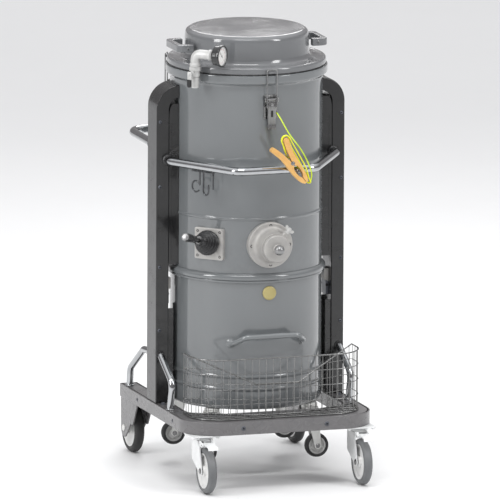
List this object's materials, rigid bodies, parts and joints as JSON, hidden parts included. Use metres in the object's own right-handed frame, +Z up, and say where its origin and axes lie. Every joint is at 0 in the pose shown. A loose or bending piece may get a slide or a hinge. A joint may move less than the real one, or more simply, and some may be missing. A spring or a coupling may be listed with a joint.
{
  "type": "shop vacuum",
  "caption": "Compressed-air industrial vacuum: filter drum on a wheeled frame, drop-down dust container, latched lid, capped inlet, filter shaker and wire tool basket.",
  "frame": {"origin": "on the floor under the middle of the whole machine's box", "axes": "+X to the machine's right, -Y towards its front, +Z up"},
  "size_m": [0.6, 0.829, 1.346],
  "materials": {
    "drum_paint": "smooth glossy mid-grey stove enamel over rolled steel",
    "lid_paint": "smooth semi-gloss warm dark grey",
    "frame_paint": "satin powder coat, dark brownish grey",
    "column_paint": "semi-gloss black powder coat",
    "chromed_steel": "bright chromed tube and wire",
    "zinc_steel": "zinc-plated pressed steel",
    "grey_tyre": "grey rubber tyre on a white hub",
    "black_tyre": "black rubber tyre on a light hub",
    "black_rubber": "matte black rubber",
    "cast_alloy": "satin cast aluminium",
    "bright_steel": "polished plated steel",
    "gauge_black": "gloss black gauge case and needle",
    "grip_black": "black moulded grip",
    "plug_yellow": "dull yellow moulded plug",
    "clamp_orange": "orange moulded plastic",
    "lead_sheath": "yellow and green PVC sheath",
    "filter_cloth": "off-white needled polyester"
  },
  "bodies": {
    "root": {"chassis_frame": "frame_paint", "column_left": "column_paint", "column_right": "column_paint", "column_cover_left": "column_paint", "column_cover_right": "column_paint", "brace_tube_left": "chromed_steel", "brace_tube_right": "chromed_steel", "grab_bar": "chromed_steel", "push_bar": "chromed_steel", "hose_hook": "chromed_steel", "basket": "chromed_steel", "filter_chamber": "drum_paint", "clamp_ring": "drum_paint", "filter_element": "filter_cloth", "lift_hook_left": "zinc_steel", "lift_hook_right": "zinc_steel", "inlet_flange": "cast_alloy", "shaker_plate": "cast_alloy", "shaker_boot": "black_rubber", "clamp_half_upper": "clamp_orange", "earth_lead": "lead_sheath"},
    "container": {"container": "drum_paint", "sight_plug": "plug_yellow", "container_handle": "drum_paint"},
    "lid": {"lid": "lid_paint", "lid_seal": "black_rubber", "lid_handle_left": "lid_paint", "lid_handle_right": "lid_paint", "ejector": "cast_alloy", "air_elbow": "bright_steel", "hose_tail": "bright_steel", "gauge_case": "gauge_black"},
    "caster_fork_left": {"caster_fork_left": "zinc_steel"},
    "caster_wheel_left": {"caster_wheel_left": "grey_tyre"},
    "brake_pedal_left": {"brake_pedal_left": "zinc_steel"},
    "rear_wheel_left": {"rear_wheel_left": "black_tyre"},
    "caster_fork_right": {"caster_fork_right": "zinc_steel"},
    "caster_wheel_right": {"caster_wheel_right": "grey_tyre"},
    "brake_pedal_right": {"brake_pedal_right": "zinc_steel"},
    "rear_wheel_right": {"rear_wheel_right": "black_tyre"},
    "bin_fork_1": {"bin_fork_1": "zinc_steel"},
    "bin_wheel_1": {"bin_wheel_1": "black_tyre"},
    "bin_fork_2": {"bin_fork_2": "zinc_steel"},
    "bin_wheel_2": {"bin_wheel_2": "black_tyre"},
    "bin_fork_3": {"bin_fork_3": "zinc_steel"},
    "bin_wheel_3": {"bin_wheel_3": "black_tyre"},
    "bin_fork_4": {"bin_fork_4": "zinc_steel"},
    "bin_wheel_4": {"bin_wheel_4": "black_tyre"},
    "latch_lever_1": {"latch_lever_1": "bright_steel"},
    "latch_bail_1": {"latch_bail_1": "bright_steel"},
    "latch_lever_2": {"latch_lever_2": "bright_steel"},
    "latch_bail_2": {"latch_bail_2": "bright_steel"},
    "latch_lever_3": {"latch_lever_3": "bright_steel"},
    "latch_bail_3": {"latch_bail_3": "bright_steel"},
    "valve_lever": {"valve_lever": "bright_steel"},
    "gauge_needle": {"gauge_needle": "gauge_black"},
    "inlet_cap": {"inlet_cap": "cast_alloy"},
    "inlet_screw": {"inlet_screw": "bright_steel"},
    "shaker_lever": {"shaker_lever": "grip_black"},
    "clamp_half_lower": {"clamp_half_lower": "clamp_orange"}
  },
  "joints": [
    {"name": "caster_swivel_left", "type": "hinge", "parent": "root", "child": "caster_fork_left", "pos_m": [-0.246, -0.3005, 0.165], "axis": [0, 0, 1], "continuous": true},
    {"name": "caster_spin_left", "type": "hinge", "parent": "caster_fork_left", "child": "caster_wheel_left", "pos_m": [-0.246, -0.3445, 0.07], "axis": [1, 0, 0], "continuous": true},
    {"name": "brake_left", "type": "hinge", "parent": "caster_fork_left", "child": "brake_pedal_left", "pos_m": [-0.246, -0.3565, 0.151], "axis": [1, 0, 0], "range_deg": [0, 14]},
    {"name": "rear_spin_left", "type": "hinge", "parent": "root", "child": "rear_wheel_left", "pos_m": [-0.258, 0.3395, 0.075], "axis": [1, 0, 0], "continuous": true},
    {"name": "caster_swivel_right", "type": "hinge", "parent": "root", "child": "caster_fork_right", "pos_m": [0.246, -0.3005, 0.165], "axis": [0, 0, 1], "continuous": true},
    {"name": "caster_spin_right", "type": "hinge", "parent": "caster_fork_right", "child": "caster_wheel_right", "pos_m": [0.246, -0.3445, 0.07], "axis": [1, 0, 0], "continuous": true},
    {"name": "brake_right", "type": "hinge", "parent": "caster_fork_right", "child": "brake_pedal_right", "pos_m": [0.246, -0.3565, 0.151], "axis": [1, 0, 0], "range_deg": [0, 14]},
    {"name": "rear_spin_right", "type": "hinge", "parent": "root", "child": "rear_wheel_right", "pos_m": [0.258, 0.3395, 0.075], "axis": [1, 0, 0], "continuous": true},
    {"name": "container_drop", "type": "slide", "parent": "root", "child": "container", "axis": [0, 0, 1], "range_m": [-0.044, 0]},
    {"name": "bin_swivel_1", "type": "hinge", "parent": "container", "child": "bin_fork_1", "pos_m": [-0.155, -0.1155, 0.208], "axis": [0, 0, 1], "continuous": true},
    {"name": "bin_spin_1", "type": "hinge", "parent": "bin_fork_1", "child": "bin_wheel_1", "pos_m": [-0.177, -0.1155, 0.082], "axis": [0, 1, 0], "continuous": true},
    {"name": "bin_swivel_2", "type": "hinge", "parent": "container", "child": "bin_fork_2", "pos_m": [0.155, -0.1155, 0.208], "axis": [0, 0, 1], "continuous": true},
    {"name": "bin_spin_2", "type": "hinge", "parent": "bin_fork_2", "child": "bin_wheel_2", "pos_m": [0.177, -0.1155, 0.082], "axis": [0, 1, 0], "continuous": true},
    {"name": "bin_swivel_3", "type": "hinge", "parent": "container", "child": "bin_fork_3", "pos_m": [0.155, 0.1945, 0.208], "axis": [0, 0, 1], "continuous": true},
    {"name": "bin_spin_3", "type": "hinge", "parent": "bin_fork_3", "child": "bin_wheel_3", "pos_m": [0.177, 0.1945, 0.082], "axis": [0, 1, 0], "continuous": true},
    {"name": "bin_swivel_4", "type": "hinge", "parent": "container", "child": "bin_fork_4", "pos_m": [-0.155, 0.1945, 0.208], "axis": [0, 0, 1], "continuous": true},
    {"name": "bin_spin_4", "type": "hinge", "parent": "bin_fork_4", "child": "bin_wheel_4", "pos_m": [-0.177, 0.1945, 0.082], "axis": [0, 1, 0], "continuous": true},
    {"name": "lid_lift", "type": "slide", "parent": "root", "child": "lid", "axis": [0, 0, 1], "range_m": [0, 0.1]},
    {"name": "latch_1", "type": "hinge", "parent": "root", "child": "latch_lever_1", "pos_m": [0, -0.2025, 1.165], "axis": [-1, 0, 0], "range_deg": [0, 150]},
    {"name": "bail_1", "type": "hinge", "parent": "latch_lever_1", "child": "latch_bail_1", "pos_m": [0, -0.208, 1.1406], "axis": [-1, 0, 0], "range_deg": [-150, 0]},
    {"name": "latch_2", "type": "hinge", "parent": "root", "child": "latch_lever_2", "pos_m": [0.20958, 0.1605, 1.165], "axis": [0.5, -0.866, 0], "range_deg": [0, 150]},
    {"name": "bail_2", "type": "hinge", "parent": "latch_lever_2", "child": "latch_bail_2", "pos_m": [0.21434, 0.16325, 1.1406], "axis": [0.5, -0.866, 0], "range_deg": [-150, 0]},
    {"name": "latch_3", "type": "hinge", "parent": "root", "child": "latch_lever_3", "pos_m": [-0.20958, 0.1605, 1.165], "axis": [0.5, 0.866, 0], "range_deg": [0, 150]},
    {"name": "bail_3", "type": "hinge", "parent": "latch_lever_3", "child": "latch_bail_3", "pos_m": [-0.21434, 0.16325, 1.1406], "axis": [0.5, 0.866, 0], "range_deg": [-150, 0]},
    {"name": "valve_turn", "type": "hinge", "parent": "lid", "child": "valve_lever", "pos_m": [-0.21563, -0.12299, 1.244], "axis": [-0.7986, -0.6018, 0], "range_deg": [-90, 0]},
    {"name": "gauge_needle_turn", "type": "hinge", "parent": "lid", "child": "gauge_needle", "pos_m": [-0.17179, -0.16683, 1.3025], "axis": [0.7071, -0.7071, 0], "range_deg": [0, 270], "stiffness_Nm_per_rad": 0.003},
    {"name": "inlet_cap_pull", "type": "slide", "parent": "root", "child": "inlet_cap", "axis": [0, -1, 0], "range_m": [0, 0.06]},
    {"name": "inlet_screw_turn", "type": "hinge", "parent": "root", "child": "inlet_screw", "pos_m": [0, -0.2289, 0.72], "axis": [0.7071, 0, 0.7071], "continuous": true},
    {"name": "shaker_swing", "type": "hinge", "parent": "root", "child": "shaker_lever", "pos_m": [-0.16545, -0.12027, 0.72], "axis": [0.6947, -0.7193, 0], "range_deg": [-4, 32], "deforming": ["shaker_boot"]},
    {"name": "clamp_squeeze", "type": "hinge", "parent": "root", "child": "clamp_half_lower", "pos_m": [0.038, -0.2875, 0.985], "axis": [0, 1, 0], "range_deg": [0, 8], "stiffness_Nm_per_rad": 1.2, "springref_deg": -14.32}
  ],
  "couplings": [
    {"joint": "latch_1", "follows": "lid_lift", "rad_per_m": 26.1},
    {"joint": "bail_1", "follows": "lid_lift", "rad_per_m": -26.1},
    {"joint": "latch_2", "follows": "lid_lift", "rad_per_m": 26.1},
    {"joint": "bail_2", "follows": "lid_lift", "rad_per_m": -26.1},
    {"joint": "latch_3", "follows": "lid_lift", "rad_per_m": 26.1},
    {"joint": "bail_3", "follows": "lid_lift", "rad_per_m": -26.1}
  ]
}
